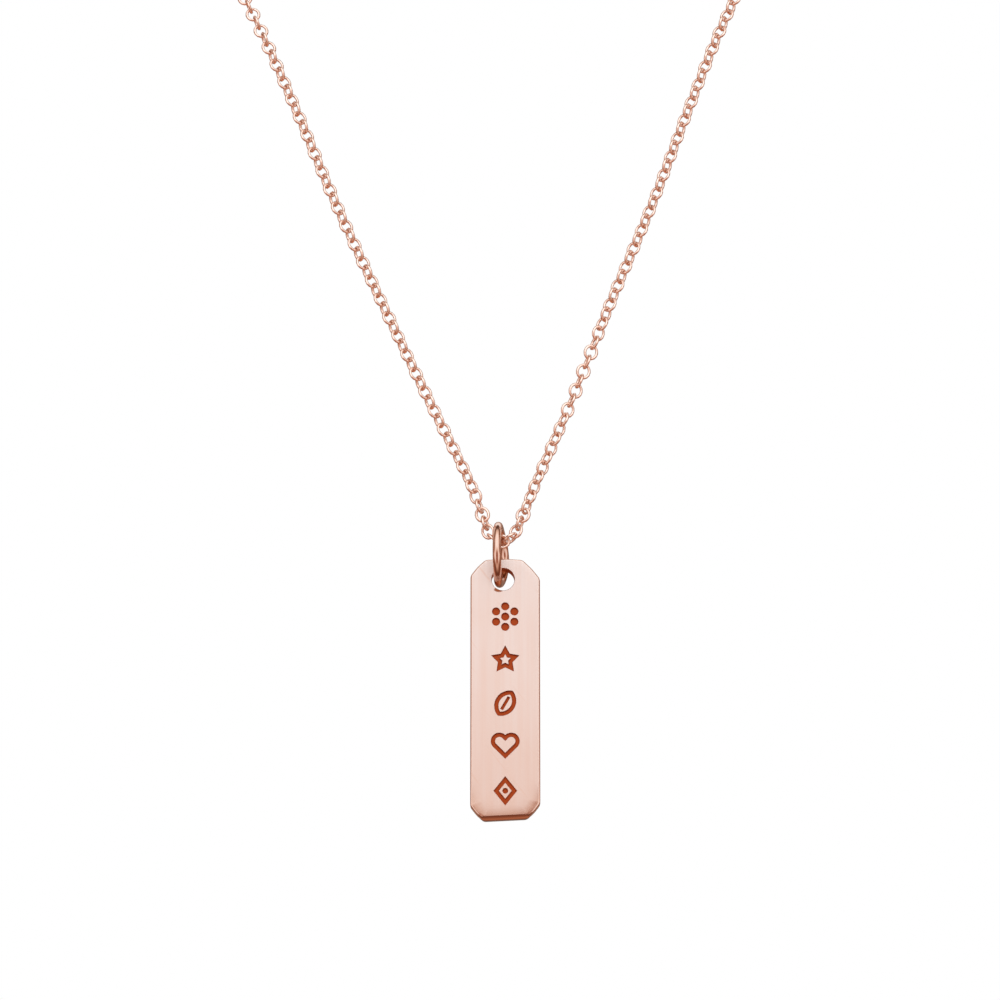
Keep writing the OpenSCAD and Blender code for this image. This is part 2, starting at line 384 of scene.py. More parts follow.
def blend_color(made, factor, a, b):
    """Colour a where factor is 0 and b where it is 1. Each is a colour or another node's output."""
    node = made.nodes.new("ShaderNodeMix")
    node.data_type = "RGBA"
    made.links.new(factor, node.inputs["Factor"])
    for socket, value in zip((s for s in node.inputs if s.type == "RGBA"), (a, b)):
        feed(made, socket, value if isinstance(value, bpy.types.NodeSocket) else (*value, 1))
    return next(s for s in node.outputs if s.type == "RGBA")


def attribute(made, name):
    """A number that the mesh carries at each of its points."""
    node = made.nodes.new("ShaderNodeAttribute")
    node.attribute_name = name
    return node.outputs["Fac"]


def bump(made, shader, height, depth):
    """Relief of that depth in metres on a shader's normal."""
    relief = flow(made, "ShaderNodeBump", Distance=depth, Strength=1.0, Height=height)
    made.links.new(relief, shader.inputs["Normal"])


# %% [markdown]
# ### Polished wire
# The ring and the clasp are drawn wire, polished bright. Perfectly even metal would look like plastic,
# and a picture of metal laid on the wire would bring its own light along. So faint clouds of noise
# change the tone, and fine drawing marks the shine. The wall of the bar's hole is made in the same
# way, duller, as a drill leaves it, and painted redder and darker as the shade inside the hole.

# %% Polished wire, and the hole's wall with painted shade
WIRE_CLOUDS = 900
DRAWING_MARKS = 9000
MARK_DEPTH = 0.0006 * MM
WIRE_CLOUDED = (0.0, 0.35)
WIRE_CLOUD_RANGE = (0.35, 0.75)
WIRE_SMOOTHER = 0.7
WIRE_ROUGHER = 1.5
# The hole's wall is painted redder and darker than the wire, as the shade inside the hole.
HOLE_SHADE_ROSE = (0.8, 0.36, 0.2)
HOLE_SHADE_DEEP = (0.66, 0.25, 0.12)


def polished_wire(name, roughness, light=ROSE, deep=ROSE_DEEP):
    """Bright drawn wire, with faint clouds in its tone and fine drawing marks. Shade is painted on it as a
    dark copper where the attribute contact is 1."""
    material, made, shader = metal(name)
    clouds = noise(made, WIRE_CLOUDS, 3)
    base = blend_color(made, spread(made, clouds, *WIRE_CLOUDED, *WIRE_CLOUD_RANGE), light, deep)
    # Painted shade: dark copper where the attribute contact is 1.
    made.links.new(blend_color(made, attribute(made, "contact"), base, SHADE_COPPER), shader.inputs["Base Color"])
    marks = noise(made, DRAWING_MARKS, 2)
    shine = spread(made, marks, roughness * WIRE_SMOOTHER, roughness * WIRE_ROUGHER)
    made.links.new(shine, shader.inputs["Roughness"])
    bump(made, shader, marks, MARK_DEPTH)
    return material


ring_gold = polished_wire("ring_gold", roughness=0.1)
clasp_gold = polished_wire("clasp_gold", roughness=0.13)
# The hole's wall: duller, with painted shade in its colours.
drilled_and_shaded = polished_wire("drilled_and_shaded", roughness=0.25, light=HOLE_SHADE_ROSE, deep=HOLE_SHADE_DEEP)
print("wire:", ring_gold.name, clasp_gold.name, "and the hole's wall:", drilled_and_shaded.name)

# %% [markdown]
# ### The chain's wire
# The links are too small to show a grain. What shows is that both ends of each link, where the
# neighbours interlock, are redder and darker, which is painted shade and reflection, and duller, where
# they rub. Noise can't know where a link ends, so the tree marks the ends with the attribute contact
# and the material reads it.

# %% Chain wire, with painted shade where the links interlock
# The chain is a paler copy of the rose gold: painted light, to brighten its fine wire.
CHAIN_ROSE = (0.99, 0.83, 0.75)
CHAIN_PALE = (0.99, 0.89, 0.83)
# The painted shade and reflection where the links interlock.
CHAIN_SHADE = (0.98, 0.76, 0.66)
CHAIN_CLOUDS = 700
CHAIN_SMOOTH = 0.2
CHAIN_RUBBED = 0.3
CHAIN_CLOUD_RANGE = (0.3, 0.7)
CHAIN_SHADE_SHARE = 0.8


def chain_wire(name):
    """Polished links, with painted shade at their interlocking ends, and duller there, where they rub."""
    material, made, shader = metal(name)
    clouds = noise(made, CHAIN_CLOUDS, 2)
    base = blend_color(made, spread(made, clouds, 0, 1, *CHAIN_CLOUD_RANGE), CHAIN_ROSE, CHAIN_PALE)
    # Painted shade and reflection at the interlocking ends of each link.
    shaded = maths(made, "MULTIPLY", attribute(made, "contact"), CHAIN_SHADE_SHARE)
    made.links.new(blend_color(made, shaded, base, CHAIN_SHADE), shader.inputs["Base Color"])
    roughness = spread(made, attribute(made, "contact"), CHAIN_SMOOTH, CHAIN_RUBBED)
    made.links.new(roughness, shader.inputs["Roughness"])
    return material


chain_gold = chain_wire("chain_gold")
print("chain:", chain_gold.name)

# %% [markdown]
# ### The bar's faces
# The front was brushed upright with a fine abrasive, so one noise, drawn out along Z, gives it grain,
# relief and shine together. Shade is painted on lower down, redder and darker towards the bottom, a few
# scratches slant across it, and a dark spot under the hole is the ring's painted shadow and reflection.
# A rather broad roughness gathers light from much of the room, so the face stays pale from every side.
# The back is more matt still. The edges are polished bright: the attribute polish, written while the
# bar is built, says where.

# %% The bar's satin face and its matt back
FACE_PALE = (0.865, 0.802, 0.782)
FACE_BLUSH = (0.828, 0.67, 0.598)
BACK_PALE = (0.99, 0.9, 0.86)
BACK_BLUSH = (0.98, 0.84, 0.77)
BAR_TOP_Z = -124 * MM
BAR_LOW_Z = -149 * MM
GRAIN = 7000
GRAIN_STRETCH = (1, 1, 0.02)
GRAIN_DEPTH = 0.001 * MM
GRAIN_ENDS = 0.35
STREAKS = 1800
STREAK_STRETCH = (1, 1, 0.035)
STREAK_SHARE = 0.6
PATCHES = 160
PATCH_SHARE = 0.4
TONE_RANGE = (0.3, 0.7)
TONE_BLUSH = (-0.25, 0.35)
# How much redder and darker the painted shade makes the bottom of the bar.
LOW_SHADE = 0.8
SCRATCHES = 3800
SCRATCH_STRETCH = (1, 1, 0.03)
SCRATCH_TILT = math.radians(-38)
SCRATCH_RANGE = (0.68, 0.76)
SCRATCH_BLUSH = 0.5
POLISHED = 0.14
# Where the ring's painted shadow and reflection lies under the hole, its size and its soft edge.
RING_SHADOW_AT = (-0.31 * MM, -127.02 * MM)
RING_SHADOW_SIZE = (0.42 * MM, 0.22 * MM)
RING_SHADOW_EDGE = (0.7, 1.4)


def satin_plate(name, light, deep, fine, coarse):
    """Brushed upright between the edges, and polished on them, where the attribute polish is 1. fine and
    coarse are the roughness at the two ends of its grain."""
    material, made, shader = metal(name)
    grain = noise(made, GRAIN, 3, GRAIN_STRETCH)
    streaks = maths(made, "MULTIPLY", noise(made, STREAKS, 2, STREAK_STRETCH), STREAK_SHARE)
    tone = maths(made, "ADD", streaks, maths(made, "MULTIPLY", noise(made, PATCHES, 2), PATCH_SHARE))
    place = made.nodes.new("ShaderNodeTexCoord").outputs["Object"]
    xyz = add(made, "ShaderNodeSeparateXYZ", Vector=place)
    # Painted shade: redder and darker towards the bottom of the bar.
    low = spread(made, xyz.outputs["Z"], LOW_SHADE, 0, BAR_LOW_Z, BAR_TOP_Z)
    blush = maths(made, "ADD", low, spread(made, tone, *TONE_BLUSH, *TONE_RANGE))
    scratches = noise(made, SCRATCHES, 1, SCRATCH_STRETCH, SCRATCH_TILT)
    blush = maths(made, "ADD", blush, spread(made, scratches, 0, SCRATCH_BLUSH, *SCRATCH_RANGE))
    face = blend_color(made, blush, light, deep)
    # Painted shadow and reflection of the ring: a dark spot under the hole.
    across = maths(made, "DIVIDE", maths(made, "SUBTRACT", xyz.outputs["X"], RING_SHADOW_AT[0]), RING_SHADOW_SIZE[0])
    down = maths(made, "DIVIDE", maths(made, "SUBTRACT", xyz.outputs["Z"], RING_SHADOW_AT[1]), RING_SHADOW_SIZE[1])
    away = maths(made, "ADD", maths(made, "MULTIPLY", across, across), maths(made, "MULTIPLY", down, down))
    face = blend_color(made, spread(made, away, 1, 0, *RING_SHADOW_EDGE), face, SHADE_COPPER)
    polish = attribute(made, "polish")
    made.links.new(blend_color(made, polish, face, ROSE), shader.inputs["Base Color"])
    satin = spread(made, grain, fine, coarse)
    gloss = made.nodes.new("ShaderNodeMix")
    gloss.data_type = "FLOAT"
    made.links.new(polish, gloss.inputs["Factor"])
    made.links.new(satin, gloss.inputs["A"])
    gloss.inputs["B"].default_value = POLISHED
    made.links.new(gloss.outputs["Result"], shader.inputs["Roughness"])
    brushed = maths(made, "MULTIPLY", grain, spread(made, polish, 1, 0, 0, GRAIN_ENDS))
    bump(made, shader, brushed, GRAIN_DEPTH)
    return material


bar_satin = satin_plate("bar_satin", FACE_PALE, FACE_BLUSH, fine=0.42, coarse=0.56)
matt_back = satin_plate("matt_back", BACK_PALE, BACK_BLUSH, fine=0.64, coarse=0.8)
print("bar:", bar_satin.name, matt_back.name)

# %% [markdown]
# ### The engraving
# A cutter leaves the floor of a line rough. The cuts are real dents in the bar, so this finish needs
# only a dark copper, painted as the shade deep in the cuts, an uneven shine and a coarse relief.

# %% Rough cut metal
CHATTER = 12000
CHATTER_DEPTH = 0.01 * MM
CHATTER_LIGHTER = 1.3
CUT_SHINE = (0.4, 0.6)


def cut_metal(name):
    """The floor and walls of the cuts: rough and uneven, and painted dark as the shade in them."""
    material, made, shader = metal(name)
    chatter = noise(made, CHATTER, 3)
    tone = blend_color(made, chatter, DARK_COPPER, [c * CHATTER_LIGHTER for c in DARK_COPPER])
    made.links.new(tone, shader.inputs["Base Color"])
    made.links.new(spread(made, chatter, *CUT_SHINE), shader.inputs["Roughness"])
    bump(made, shader, chatter, CHATTER_DEPTH)
    return material


engraved_dark = cut_metal("engraved_dark")
print("engraving:", engraved_dark.name)

# %% [markdown]
# ### Both sides of the chain
# The tree runs once along each side, from the lowest link out to the clasp, so both sides meet in the
# jump ring at the right place. A modifier's input is set through its socket's identifier, because two
# inputs may bear one name. Each side then becomes a plain mesh, since the export drops instances.

# %% Build the chain
def chain_side(name, line, turns, first):
    """One side of the chain, from its first link out to the clasp."""
    pitch = (line_length(line) + BUNCHED * LINK_BUNCH) / LINKS_PER_SIDE
    curve = chain_curve(name + "_line", line, turns, pitch)
    links = curve.modifiers.new("links", "NODES")
    links.node_group = link_chain
    given = {
        "Links": LINKS_PER_SIDE + 1 - first, "First": first, "Pitch": pitch, "Bunch": LINK_BUNCH,
        "Bunched": float(BUNCHED), "Width": LINK_WIDTH, "Length": LINK_LONG, "Wire": LINK_WIRE,
        "Wobble": LINK_WOBBLE, "Seed": LINK_SEED + first, "Material": chain_gold,
    }
    for label, value in given.items():
        set_input(links, label, value)
    made = bake_nodes(curve, name)
    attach(made, "neck_chain")
    return made


chain_left = chain_side("chain_left", left_line, TURNS_LEFT, 0)
chain_right = chain_side("chain_right", right_line, TURNS_RIGHT, 1)
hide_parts("chain_front", "chain_back")
print("chain:", len(chain_left.data.polygons) + len(chain_right.data.polygons), "faces")

# %% [markdown]
# ## The round wire pieces
# The jump ring, the end ring and the clasp are all round wire bent into rings. Blender's own torus has
# one thickness and lies flat, so one function sweeps a round section along a circle instead. The
# section's radius may change on the way, which gives the jump ring its fine closed joint and the clasp
# its thinner bolt beside the thicker tube. The wire may also be bent out sideways, and an attribute
# marks where shade is painted on it.

# %% Swept ring
RING_STEPS = 120
WIRE_STEPS = 28


def mesh_of(bm, name):
    """A mesh made from a bmesh, which is then freed."""
    mesh = bpy.data.meshes.new(name)
    bm.to_mesh(mesh)
    bm.free()
    return mesh


def nowhere(angle):
    """For a wire that is bent or painted dark at no angle."""
    return 0.0


def even(diameter):
    """The radius, by angle, of a wire that is equally thick all round."""
    return lambda angle: diameter / 2


def swept_ring(name, material, centre, axis, ring_radius, wire_radius, sideways=nowhere, shaded=nowhere):
    """A closed ring of round wire about an axis. wire_radius gives the wire's radius at an angle in
    degrees, sideways how far the wire is bent out along the axis there, and the last function how dark
    shade is painted there. The angle starts at the ring's own X axis and turns about the axis."""
    turn = Vector((0, 0, 1)).rotation_difference(Vector(axis)).to_matrix().to_4x4()
    place = Matrix.Translation(centre) @ turn
    bm = bmesh.new()
    contact = bm.verts.layers.float.new("contact")
    rows = []
    for i in range(RING_STEPS):
        angle = 2 * math.pi * i / RING_STEPS
        degrees = math.degrees(angle)
        out = Vector((math.cos(angle), math.sin(angle), 0))
        r = wire_radius(degrees)
        row = []
        for k in range(WIRE_STEPS):
            t = 2 * math.pi * k / WIRE_STEPS
            up = Vector((0, 0, sideways(degrees) + r * math.sin(t)))
            vert = bm.verts.new(place @ (out * (ring_radius + r * math.cos(t)) + up))
            # How dark shade is painted here, kept as the attribute contact.
            vert[contact] = shaded(degrees)
            row.append(vert)
        rows.append(row)
    for i in range(RING_STEPS):
        here, after = rows[i], rows[(i + 1) % RING_STEPS]
        for k in range(WIRE_STEPS):
            j = (k + 1) % WIRE_STEPS
            bm.faces.new((here[k], after[k], after[j], here[j])).smooth = True
    bmesh.ops.recalc_face_normals(bm, faces=bm.faces)
    mesh = mesh_of(bm, name)
    mesh.materials.append(material)
    return new_object(name, mesh)


def middle(node):
    """The middle of a node's box, and its size."""
    low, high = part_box(node)
    return (low + high) / 2, high - low


# %% Jump ring
# It stands nearly in line with the view. A sprung ring like this is never quite flat: its front limb
# is bent to the left and its back limb to the right. Shade is painted dark on it where it hangs behind
# the bar's hole.
RING_WIRE = 0.8 * MM
JOINT_AT = 39
JOINT_GROOVE = 0.03 * MM
# The stretch of wire behind the foot, in the hole, where shade is painted on, by angle.
SHADE_MIDDLE = 52
SHADE_REACH = 30
SHADE_FADE = 12
LIMBS_APART = 0.35
LIMB_CURL = 0.03
TOP_LEAN = 0.01
LIMBS_LEFT = 0.095

ring_middle, ring_size = middle("jump_ring")


def ring_wire(angle):
    """The wire's radius: full all round but for the fine groove where the ring's two ends meet."""
    return RING_WIRE / 2 - (JOINT_GROOVE if abs(angle - JOINT_AT) < 1 else 0)


def ring_bend(angle):
    """How far the wire lies to the right. The angle is 0 at the bottom, 90 behind, 180 at the top."""
    a = math.radians(angle)
    bend = LIMBS_APART * math.sin(a) - LIMB_CURL * math.sin(3 * a) - TOP_LEAN * math.cos(a)
    return (bend - LIMBS_LEFT * math.cos(2 * a) - LIMBS_LEFT) * MM


def ring_shade(angle):
    """1 on the stretch of wire behind the foot that hangs in the hole, where shade is painted on."""
    return max(0.0, min(1.0, (SHADE_REACH - abs(angle - SHADE_MIDDLE)) / SHADE_FADE))


jump_ring = swept_ring(
    "jump_ring_wire", ring_gold, ring_middle, (1, 0, 0), (ring_size.z - RING_WIRE) / 2, ring_wire,
    ring_bend, ring_shade,
)
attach(jump_ring, "jump_ring")
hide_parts("jump_ring")
print("jump ring:", round(ring_size.z * 1000, 2), "mm across")

# %% End ring
END_WIRE = 0.6 * MM
end_middle, end_size = middle("end_ring")
end_ring = swept_ring(
    "end_ring_wire", clasp_gold, end_middle, (0, 0, 1), (end_size.x - END_WIRE) / 2, even(END_WIRE)
)
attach(end_ring, "neck_chain")
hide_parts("end_ring")
print("end ring:", round(end_size.x * 1000, 2), "mm across")

# %% [markdown]
# ## The bar's outline
# The bar was cut from plate: a long rectangle with four clipped corners, which were filed by hand.
# So the two upper ones differ a little, each clip bulges slightly, its ends are rounded over, and the
# bottom edge runs a little askew. The outline is worked out in millimetres from the bar's middle, from
# the same few sizes as the model's source. Its height, width and thickness come from the frame.

# %% Bar sizes
bar_middle, bar_size = middle("bar")
TOP_ARCH = 0.1
BOTTOM_SLANT = 0.2
CLIP_TOP_LEFT = 1.4
CLIP_TOP_RIGHT = 1.65
CLIP_BOTTOM = 1.25
CLIP_SLOPE = 1.1
CLIP_BULGE = 0.06
CLIP_ROUND = 0.25
CURVE_STEPS = 6
OUTLINE_STEP = 0.6

half_w = bar_size.x / MM / 2
half_t = bar_size.y / MM / 2
bar_h = bar_size.z / MM - TOP_ARCH - BOTTOM_SLANT / 2
half_h = bar_h / 2
bar_x = bar_middle.x / MM
bar_y = bar_middle.y / MM
bar_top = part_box("bar")[1].z / MM - TOP_ARCH
bar_z = bar_top - half_h
print(f"bar {2 * half_w:.2f} x {2 * half_t:.2f} x {bar_h:.2f} mm")
print(f"its middle is at {bar_x:.2f} {bar_y:.2f} {bar_z:.2f} mm")


# %% Outline
def clip(x, z, w):
    """A clipped corner, from its end on the side to its end on the top or bottom edge."""
    sx, sz, h = math.copysign(1, x), math.copysign(1, z), w * CLIP_SLOPE
    return [
        Vector((x, z - sz * h)),
        Vector((x - sx * (w / 2 - CLIP_BULGE), z - sz * (h / 2 - CLIP_BULGE))),
        Vector((x - sx * w, z)),
    ]


def round_corners(points, cut):
    """Each corner of a closed line replaced by a smooth curve that starts and ends cut away from it."""
    smooth = []
    for i, p in enumerate(points):
        a = p + (points[i - 1] - p).normalized() * cut
        b = p + (points[(i + 1) % len(points)] - p).normalized() * cut
        for k in range(CURVE_STEPS + 1):
            u = k / CURVE_STEPS
            smooth.append((1 - u) ** 2 * a + 2 * u * (1 - u) * p + u * u * b)
    return smooth


def pairs(loop):
    """Each point of a closed line with the next one."""
    return zip(loop, loop[1:] + loop[:1])


def subdivided(loop, step):
    """A closed line with extra points, so that no stretch of it is longer than step."""
    fine = []
    for p, q in pairs(loop):
        count = max(1, math.ceil((q - p).length / step))
        fine += [p.lerp(q, k / count) for k in range(count)]
    return fine


def counter_clockwise(loop):
    """A closed line, turned round if it runs clockwise."""
    area = sum(p.x * q.y - q.x * p.y for p, q in pairs(loop))
    return loop if area > 0 else loop[::-1]


def bar_outline():
    """The bar's outline about its middle, counter-clockwise as seen from the front."""
    low_left = Vector((0, -BOTTOM_SLANT / 2))
    low_right = Vector((0, BOTTOM_SLANT / 2))
    corners = clip(half_w, half_h, CLIP_TOP_RIGHT)
    corners += [Vector((0, half_h + TOP_ARCH))]
    corners += clip(-half_w, half_h, CLIP_TOP_LEFT)[::-1]
    corners += [p + low_left for p in clip(-half_w, -half_h, CLIP_BOTTOM)]
    corners += [p + low_right for p in clip(half_w, -half_h, CLIP_BOTTOM)[::-1]]
    return counter_clockwise(subdivided(round_corners(corners, CLIP_ROUND), OUTLINE_STEP))


outline = bar_outline()
print("outline:", len(outline), "points")

# %% [markdown]
# ## The five marks
# The column of marks is engraved with a cutter of one width: a dot flower, a star, a leaf, a heart
# and a lozenge. Each mark is a list of closed lines. A place is cut where it lies inside an odd
# number of them, so a line inside another one leaves an island, and one inside that cuts again.

# %% Mark shapes
MARK_R = 1.35
STROKE = 0.36
ARC_STEPS = 18


def arc(cx, cz, radius, start, end, steps=ARC_STEPS):
    """Points along an arc, angles in degrees, both ends included."""
    angles = [math.radians(start + (end - start) * k / steps) for k in range(steps + 1)]
    return [Vector((cx + radius * math.cos(a), cz + radius * math.sin(a))) for a in angles]


def disc(cx, cz, radius):
    """A full circle, without its last point, which would be the first again."""
    return arc(cx, cz, radius, 0, 360)[:-1]


def turned(loop, degrees):
    """A line turned about the middle of its mark."""
    a = math.radians(degrees)
    cos, sin = math.cos(a), math.sin(a)
    return [Vector((p.x * cos - p.y * sin, p.x * sin + p.y * cos)) for p in loop]


def scaled(loop, factor):
    """A line made larger or smaller about the middle of its mark."""
    return [p * factor for p in loop]


# %% The five marks, each as its closed lines
DOT_SHARE = 0.27
STAR_WAIST = 0.52
LOZENGE_WIDE = 0.8
LOZENGE_DOT = 0.7
LEAF_WIDE = 0.7
LEAF_LEAN = -30
RIB_SHARE = 0.35
HEART_SIDE = 1.15


def dot_flower():
    """Seven drilled dots."""
    r = MARK_R * DOT_SHARE
    reach = MARK_R - r
    around = [math.radians(a) for a in range(30, 360, 60)]
    return [disc(0, 0, r)] + [disc(reach * math.cos(a), reach * math.sin(a), r) for a in around]


def star():
    """A five-pointed star, with a smaller one left standing inside it."""
    spokes = [(MARK_R * (STAR_WAIST if k % 2 else 1), math.radians(36 * k)) for k in range(10)]
    points = [Vector((r * math.sin(a), r * math.cos(a))) for r, a in spokes]
    side = points[1] - points[0]
    side_at = abs(side.x * points[0].y - side.y * points[0].x) / side.length
    return [points, scaled(points, (side_at - STROKE) / side_at)]


def lozenge():
    """A square on its corner, with a smaller one inside it and a dot in its middle."""
    half = MARK_R * LOZENGE_WIDE
    points = [Vector((0, MARK_R)), Vector((half, 0)), Vector((0, -MARK_R)), Vector((-half, 0))]
    side_at = MARK_R * half / math.hypot(MARK_R, half)
    return [points, scaled(points, (side_at - STROKE) / side_at), disc(0, 0, STROKE * LOZENGE_DOT)]


def blade(radius, shift):
    """The shape between two arcs that meet in a point at both ends."""
    reach = math.degrees(math.acos(shift / radius))
    right = arc(-shift, 0, radius, -reach, reach)
    left = arc(shift, 0, radius, 180 - reach, 180 + reach)
    return right[:-1] + left[:-1]


def leaf():
    """A blade with a rib, leaning to the right."""
    half = MARK_R * LEAF_WIDE
    radius = (MARK_R ** 2 + half ** 2) / (2 * half)
    rib_w, rib_h = STROKE * RIB_SHARE, MARK_R / 2
    corners = ((-rib_w, -rib_h), (rib_w, -rib_h), (rib_w, rib_h), (-rib_w, rib_h))
    rib = [Vector(corner) for corner in corners]
    shapes = [blade(radius, radius - half), blade(radius - STROKE, radius - half), rib]
    return [turned(loop, LEAF_LEAN) for loop in shapes]


def heart():
    """Two half discs on the upper sides of a square that stands on its corner."""
    s, w = MARK_R * HEART_SIDE, STROKE
    outer = [Vector((s, s))] + arc(s / 2, 0, s / 2, 0, -180)[:-1] + [Vector((0, 0))]
    outer += arc(0, s / 2, s / 2, -90, -270)[1:]
    inner = [Vector((s - w, s - w))] + arc(s / 2, 0, s / 2 - w, 0, -180) + [Vector((w, w))]
    inner += arc(0, s / 2, s / 2 - w, -90, -270)
    lift = Vector((0, s / math.sqrt(2)))
    return [[p + lift for p in turned(loop, -135)] for loop in (outer, inner)]


# %% Place the marks
MARK_DROP = 5.5
MARK_PITCH = 4.15
MARK_STEP = 0.25

mark_loops = []
for i, shape in enumerate((dot_flower, star, leaf, heart, lozenge)):
    drop = Vector((0, half_h - MARK_DROP - i * MARK_PITCH))
    for loop in shape():
        mark_loops.append(counter_clockwise(subdivided([p + drop for p in loop], MARK_STEP)))
print("marks:", len(mark_loops), "closed lines")

# %% [markdown]
# ## The bar as one closed mesh
# Booleans and a Bevel modifier would round every cut alike, and here a cut needs a far finer edge than
# the plate has. So the plate is built face by face. Its front is triangulated once, with the outline,
# the hole and the marks as fixed lines. The triangles inside a mark are then sunk to the floor of the
# cut. Every rim gets a fine bevel, and the outline is rolled over in an arc, front and back. The lower
# half of the front is also bowed back a little. It is polished down towards its lower edges, most of
# all at the right, and a narrow facet is filed along the bottom.

# %% Plane geometry
LONGEST_MITRE = 2
JUST_INSIDE = 0.001
SAME_POINT = 1e-6


def inside(point, loop):
    """Whether a point lies inside a closed line."""
    hit = False
    for p, q in pairs(loop):
        if (p.y > point.y) != (q.y > point.y):
            if point.x < p.x + (q.x - p.x) * (point.y - p.y) / (q.y - p.y):
                hit = not hit
    return hit


def offset(loop, distance):
    """A counter-clockwise closed line moved outwards by a distance, or inwards by a negative one."""
    moved = []
    for i, p in enumerate(loop):
        a = (p - loop[i - 1]).normalized()
        b = (loop[(i + 1) % len(loop)] - p).normalized()
        out = Vector((a.y + b.y, -a.x - b.x))
        out = out.normalized() if out.length > SAME_POINT else Vector((a.y, -a.x))
        stretch = 1 / max(1 / LONGEST_MITRE, out.dot(Vector((a.y, -a.x))))
        moved.append(p + out * distance * stretch)
    return moved


def is_cut(point):
    """Whether a place on the face is engraved: it lies inside an odd number of the marks' lines."""
    return sum(inside(point, loop) for loop in mark_loops) % 2 == 1


def cut_inside(loop):
    """Whether the metal just inside a mark's line is cut. Otherwise the line bounds an island."""
    p, q = loop[0], loop[1]
    along = (q - p).normalized()
    return is_cut((p + q) / 2 + Vector((-along.y, along.x)) * JUST_INSIDE)


# %% The hole and the edges
HOLE_D = 2.15
HOLE_DROP = 1.9
HOLE_SHIFT = -0.2
HOLE_SIDES = 64
BAR_EDGE = 0.18
EDGE_STEPS = 8
RIM = 0.03
ENGRAVED = 0.2

hole = counter_clockwise(arc(HOLE_SHIFT, half_h - HOLE_DROP, HOLE_D / 2, 0, 360, HOLE_SIDES)[:-1])
print(f"hole {HOLE_D} mm, edges rolled over by {BAR_EDGE} mm, cuts {ENGRAVED} mm deep")

# %% How the front is worn
BOW_REACH = 12
BOW_DEPTH = 0.18
WORN_UP_TO = 3.0
WORN_REACH = 1.4
WORN_DEPTH = 0.077
WORN_CORNERS = 0.9
WORN_RIGHT = 0.6
FILED_REACH = 0.36
FILED_SLOPE = 1.1
FILED_CURVE = 0.32


def is_low(point):
    """Whether a place lies near the bar's lower end, where the edge is worn."""
    return point.y < WORN_UP_TO - half_h


low_edges = [(p, q) for p, q in pairs(outline) if is_low(p) or is_low(q)]


def from_edge(point):
    """How far a place lies from the lower part of the outline."""
    nearest = []
    for p, q in low_edges:
        along = max(0.0, min(1.0, (point - p).dot(q - p) / (q - p).length_squared))
        nearest.append((point - p.lerp(q, along)).length)
    return min(nearest)


def worn(point):
    """How far the front face lies back, and how bright it is polished there. It is bowed a little over
    its lower half, polished down towards the lower edge, and has a narrow facet filed along it."""
    bow = max(0.0, 1 - (point.y + half_h) / BOW_REACH)
    if not is_low(point):
        return BOW_DEPTH * bow ** 2, 0.0
    fade = min(1.0, (WORN_UP_TO - half_h - point.y) / (WORN_UP_TO / 2))
    slope = max(0.0, 1 - from_edge(point) / WORN_REACH)
    out = point.x / half_w
    depth = WORN_DEPTH * (1 + WORN_CORNERS * out ** 2 + WORN_RIGHT * out ** 3)
    bottom = BOTTOM_SLANT / 2 * point.x / (half_w - CLIP_BOTTOM) - half_h
    facet = max(0.0, 1 - (point.y - bottom) / FILED_REACH)
    filed = FILED_REACH * (FILED_SLOPE * facet + FILED_CURVE * facet ** 2)
    return BOW_DEPTH * bow ** 2 + fade * depth * slope ** 2 + filed, fade * slope


print("the edge is worn along", len(low_edges), "stretches of the outline")


# %% Points of the plate
FACE_GRID = 0.5
GRID_CLEAR = 0.3
WORN_ROWS = (0.24, 0.3, 0.36, 0.44, 0.56, 0.7, 0.86, 1.02)


def plate_point(p, depth):
    """A point of the plate in metres, from its place on the face and its depth behind the front."""
    return Vector((bar_x + p.x, bar_y - half_t + depth, bar_z + p.y)) * MM


def triangulate(loops, extra):
    """Triangles that keep the closed lines. Returns the points, the triangles and, for each line,
    the numbers of its points."""
    points, edges, spans = [], [], []
    for loop in loops:
        start = len(points)
        points += loop
        edges += [(start + k, start + (k + 1) % len(loop)) for k in range(len(loop))]
        spans.append(range(start, len(points)))
    points += extra
    found, _, triangles, origin, _, _ = delaunay_2d_cdt(points, edges, [], 0, SAME_POINT)
    new_number = {old: new for new, olds in enumerate(origin) for old in olds}
    return found, triangles, [[new_number[k] for k in span] for span in spans]


def grid_points(loops):
    """Points on a grid that fill the uncut face, clear of every line. The outline is the first line
    and the hole the second."""
    kept = [p for row in WORN_ROWS for p in offset(outline, -row) if is_low(p) and inside(p, loops[0])]
    fine = [p for loop in loops for p in subdivided(loop, GRID_CLEAR)] + kept
    for i in range(int(-half_w / FACE_GRID), int(half_w / FACE_GRID) + 1):
        for k in range(int(-half_h / FACE_GRID), int(half_h / FACE_GRID) + 1):
            p = Vector((i * FACE_GRID, k * FACE_GRID))
            if inside(p, loops[0]) and not inside(p, loops[1]) and not is_cut(p):
                if min((p - q).length for q in fine) > GRID_CLEAR:
                    kept.append(p)
    return kept


# %% Rows of vertices and the walls between them
FACE_SLOT, CUT_SLOT, HOLE_SLOT, BACK_SLOT = range(4)


def new_row(bm, line, depth, shine):
    """New vertices along a line at a depth, worn as the front is there, and less so further back."""
    polish = bm.verts.layers.float["polish"]
    front_share = max(0.0, 1 - depth / half_t)
    made = []
    for p in line:
        back_by, bright = worn(p)
        vert = bm.verts.new(plate_point(p, depth + back_by * front_share))
        vert[polish] = max(shine, bright * front_share)
        made.append(vert)
    return made


def bridge(bm, rows, slot=FACE_SLOT):
    """A wall of quads from each closed row of vertices to the next."""
    for a, b in zip(rows, rows[1:]):
        for (p, p_next), (q, q_next) in zip(pairs(a), pairs(b)):
            bm.faces.new((p, p_next, q_next, q)).material_index = slot


def centre_of(points, triangle):
    """The middle of a triangle that is given by the numbers of its points."""
    return sum((points[k] for k in triangle), Vector((0, 0))) / 3


